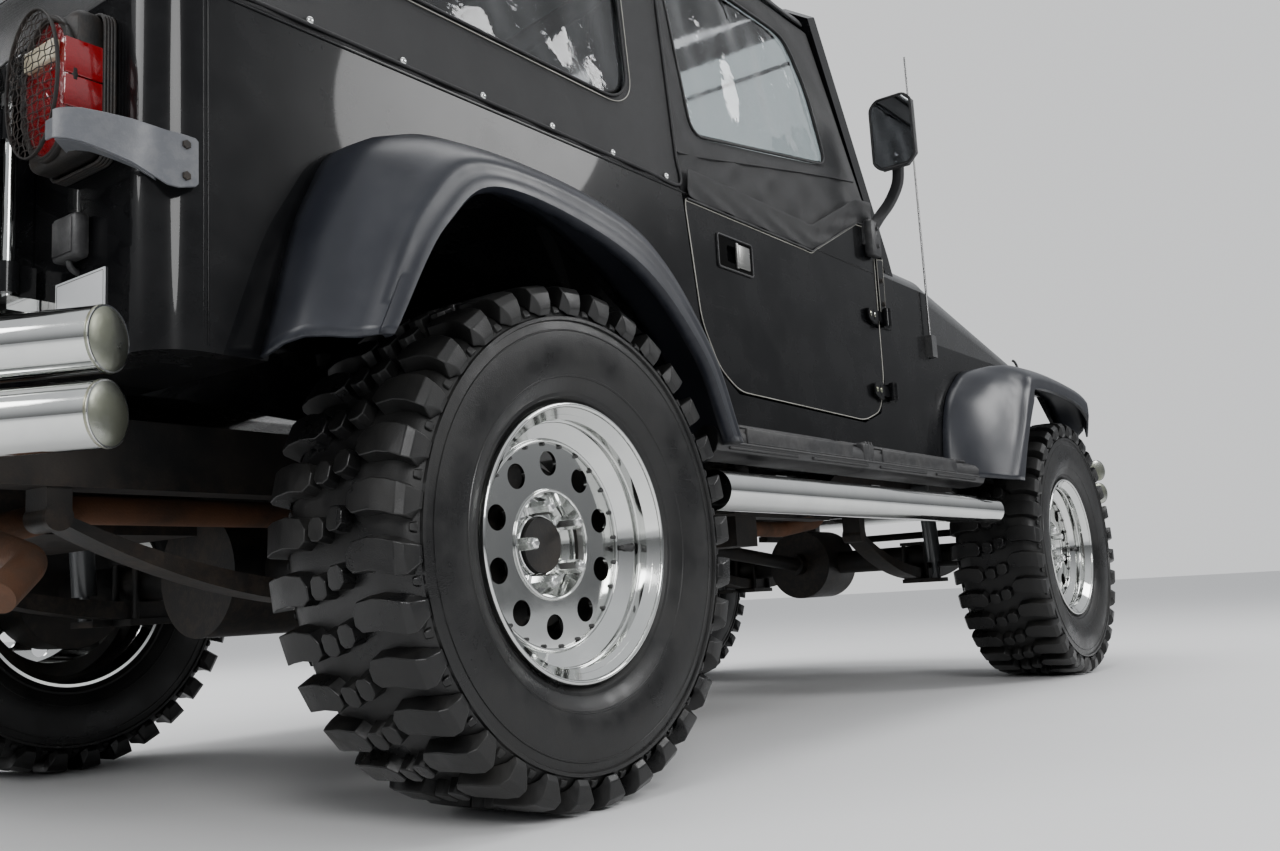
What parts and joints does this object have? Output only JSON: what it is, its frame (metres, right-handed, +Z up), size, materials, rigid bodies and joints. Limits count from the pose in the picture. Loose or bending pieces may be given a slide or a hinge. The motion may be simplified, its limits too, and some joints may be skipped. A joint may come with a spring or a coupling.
{
  "type": "lifted off-road 4x4",
  "caption": "Short two-door off-road 4x4 with a soft top, wide flares, mud tyres on deep chromed wheels, tube bumpers, side tubes and a swing-out spare wheel.",
  "frame": {"origin": "on the ground under the middle of the overall length and width", "axes": "+X forward, +Y to the vehicle's left, +Z up"},
  "size_m": [3.92, 1.759, 1.8453],
  "materials": {
    "body_paint": "gloss",
    "flare_plastic": "satin",
    "trim_plastic": "matte",
    "chrome": "mirror",
    "tyre_rubber": "matte",
    "chassis_paint": "satin",
    "shock_paint": "satin",
    "engine_iron": "rough",
    "radiator_metal": "matte",
    "rusty_pipe": "rusty",
    "top_fabric": "matte vinyl-coated cloth",
    "clear_film": "flexible clear vinyl",
    "screen_glass": "clear",
    "seat_fabric": "matte",
    "wheel_grip": "satin",
    "lamp_lens": "clear",
    "tail_lens": "clear red",
    "bracket_grey": "dull",
    "antenna_metal": "dull"
  },
  "bodies": {
    "body": {"tub": "body_paint", "frame": "chassis_paint", "flares": "flare_plastic", "fenders": "body_paint", "grille": "body_paint", "front_lamps": "lamp_lens", "radiator": "radiator_metal", "engine": "engine_iron", "dash": "trim_plastic", "seats": "seat_fabric", "roll_bar": "chassis_paint", "windscreen_frame": "body_paint", "windscreen_glass": "screen_glass", "soft_top": "top_fabric", "top_windows": "clear_film", "front_bumper": "chrome", "rear_bumper": "chrome", "side_tubes": "chrome", "fuel_tank": "chassis_paint", "exhaust": "rusty_pipe", "front_axle": "chassis_paint", "rear_axle": "chassis_paint", "leaf_springs": "chassis_paint", "shock_absorbers": "shock_paint", "prop_shafts": "chassis_paint", "tail_lamps": "tail_lens", "lamp_brackets": "bracket_grey", "antenna": "antenna_metal", "tailgate_hinge": "chrome", "steering_box": "chassis_paint"},
    "bonnet_body": {"bonnet": "body_paint"},
    "left_door_body": {"left_door": "body_paint", "left_door_upper": "top_fabric", "left_door_window": "clear_film", "left_mirror": "trim_plastic"},
    "right_door_body": {"right_door": "body_paint", "right_door_upper": "top_fabric", "right_door_window": "clear_film", "right_mirror": "trim_plastic"},
    "tailgate_body": {"tailgate": "body_paint", "spare_tyre": "tyre_rubber", "spare_rim": "chrome"},
    "left_knuckle_body": {"left_knuckle": "chassis_paint"},
    "right_knuckle_body": {"right_knuckle": "chassis_paint"},
    "tie_rod_body": {"tie_rod": "chassis_paint"},
    "pitman_body": {"pitman_arm": "chassis_paint"},
    "drag_link_body": {"drag_link": "chassis_paint"},
    "steering_wheel_body": {"steering_wheel": "wheel_grip"},
    "front_left_wheel": {"front_left_tyre": "tyre_rubber", "front_left_rim": "chrome"},
    "front_right_wheel": {"front_right_tyre": "tyre_rubber", "front_right_rim": "chrome"},
    "rear_left_wheel": {"rear_left_tyre": "tyre_rubber", "rear_left_rim": "chrome"},
    "rear_right_wheel": {"rear_right_tyre": "tyre_rubber", "rear_right_rim": "chrome"}
  },
  "joints": [
    {"name": "bonnet_hinge", "type": "hinge", "parent": "body", "child": "bonnet_body", "pos_m": [0.627, 0, 1.165], "axis": [0, -1, 0], "range_deg": [0, 60]},
    {"name": "left_door_hinge", "type": "hinge", "parent": "body", "child": "left_door_body", "pos_m": [0.317, 0.733, 0.865], "axis": [0, 0, -1], "range_deg": [0, 70]},
    {"name": "right_door_hinge", "type": "hinge", "parent": "body", "child": "right_door_body", "pos_m": [0.317, -0.733, 0.865], "axis": [0, 0, 1], "range_deg": [0, 70]},
    {"name": "tailgate_hinge_joint", "type": "hinge", "parent": "body", "child": "tailgate_body", "pos_m": [-1.698, -0.447, 0.84], "axis": [0, 0, 1], "range_deg": [0, 90]},
    {"name": "steer_left", "type": "hinge", "parent": "body", "child": "left_knuckle_body", "pos_m": [1.332, 0.585, 0.385], "axis": [0, 0, 1], "range_deg": [-30, 30]},
    {"name": "steer_right", "type": "hinge", "parent": "body", "child": "right_knuckle_body", "pos_m": [1.332, -0.585, 0.385], "axis": [0, 0, 1], "range_deg": [-30, 30]},
    {"name": "tie_rod_pivot", "type": "hinge", "parent": "left_knuckle_body", "child": "tie_rod_body", "pos_m": [1.497, 0.585, 0.383], "axis": [0, 0, 1], "range_deg": [-30, 30]},
    {"name": "pitman_pivot", "type": "hinge", "parent": "body", "child": "pitman_body", "pos_m": [1.332, 0.27, 0.456], "axis": [0, 0, 1], "range_deg": [-30, 30]},
    {"name": "drag_link_pivot", "type": "hinge", "parent": "pitman_body", "child": "drag_link_body", "pos_m": [1.497, 0.27, 0.434], "axis": [0, 0, 1], "range_deg": [-30, 30]},
    {"name": "steering_wheel_turn", "type": "hinge", "parent": "body", "child": "steering_wheel_body", "pos_m": [0.099, 0.36, 1.115], "axis": [-0.8829, 0, 0.4695], "range_deg": [-420, 420]},
    {"name": "front_left_spin", "type": "hinge", "parent": "left_knuckle_body", "child": "front_left_wheel", "pos_m": [1.332, 0.714, 0.385], "axis": [0, 1, 0], "continuous": true},
    {"name": "front_right_spin", "type": "hinge", "parent": "right_knuckle_body", "child": "front_right_wheel", "pos_m": [1.332, -0.714, 0.385], "axis": [0, 1, 0], "continuous": true},
    {"name": "rear_left_spin", "type": "hinge", "parent": "body", "child": "rear_left_wheel", "pos_m": [-1.041, 0.714, 0.385], "axis": [0, 1, 0], "continuous": true},
    {"name": "rear_right_spin", "type": "hinge", "parent": "body", "child": "rear_right_wheel", "pos_m": [-1.041, -0.714, 0.385], "axis": [0, 1, 0], "continuous": true}
  ],
  "couplings": [
    {"joint": "steer_right", "follows": "steer_left", "ratio": 1},
    {"joint": "tie_rod_pivot", "follows": "steer_left", "ratio": -1},
    {"joint": "pitman_pivot", "follows": "steer_left", "ratio": 1},
    {"joint": "drag_link_pivot", "follows": "steer_left", "ratio": -1},
    {"joint": "steering_wheel_turn", "follows": "steer_left", "ratio": 14}
  ]
}
